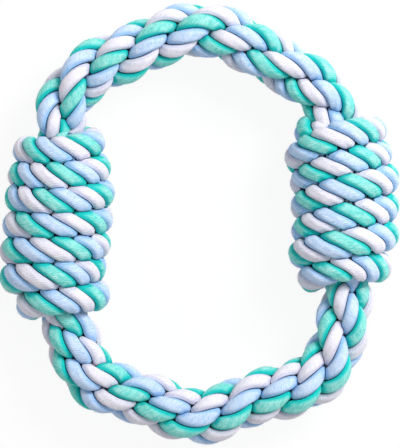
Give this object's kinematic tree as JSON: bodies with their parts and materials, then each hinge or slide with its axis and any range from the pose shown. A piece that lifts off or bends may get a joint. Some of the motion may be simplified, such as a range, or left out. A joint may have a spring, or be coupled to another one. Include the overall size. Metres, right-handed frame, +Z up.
{
  "type": "rope dog toy",
  "caption": "Oval ring dog toy laid from three-ply cotton rope, with two barrel rope windings as grips; it lies flat on the windings.",
  "frame": {"origin": "on the floor under the middle of the toy's outline, the toy lying on its two windings", "axes": "+Z up through the ring's hole, +Y along the ring's long axis towards the upper arc, +X towards the winding whose loops lean"},
  "size_m": [0.176, 0.1961, 0.048],
  "materials": {
    "cotton_rope": "soft matt cotton, three plies in mint, sky blue and lavender white"
  },
  "bodies": {
    "root": {"bottom_arc_rope_1": "cotton_rope", "bottom_arc_rope_2": "cotton_rope", "bottom_arc_rope_3": "cotton_rope", "right_core_rope_1": "cotton_rope", "right_core_rope_2": "cotton_rope", "right_core_rope_3": "cotton_rope", "top_arc_rope_1": "cotton_rope", "top_arc_rope_2": "cotton_rope", "top_arc_rope_3": "cotton_rope", "left_core_rope_1": "cotton_rope", "left_core_rope_2": "cotton_rope", "left_core_rope_3": "cotton_rope", "left_winding": "cotton_rope", "right_winding": "cotton_rope"}
  },
  "joints": []
}
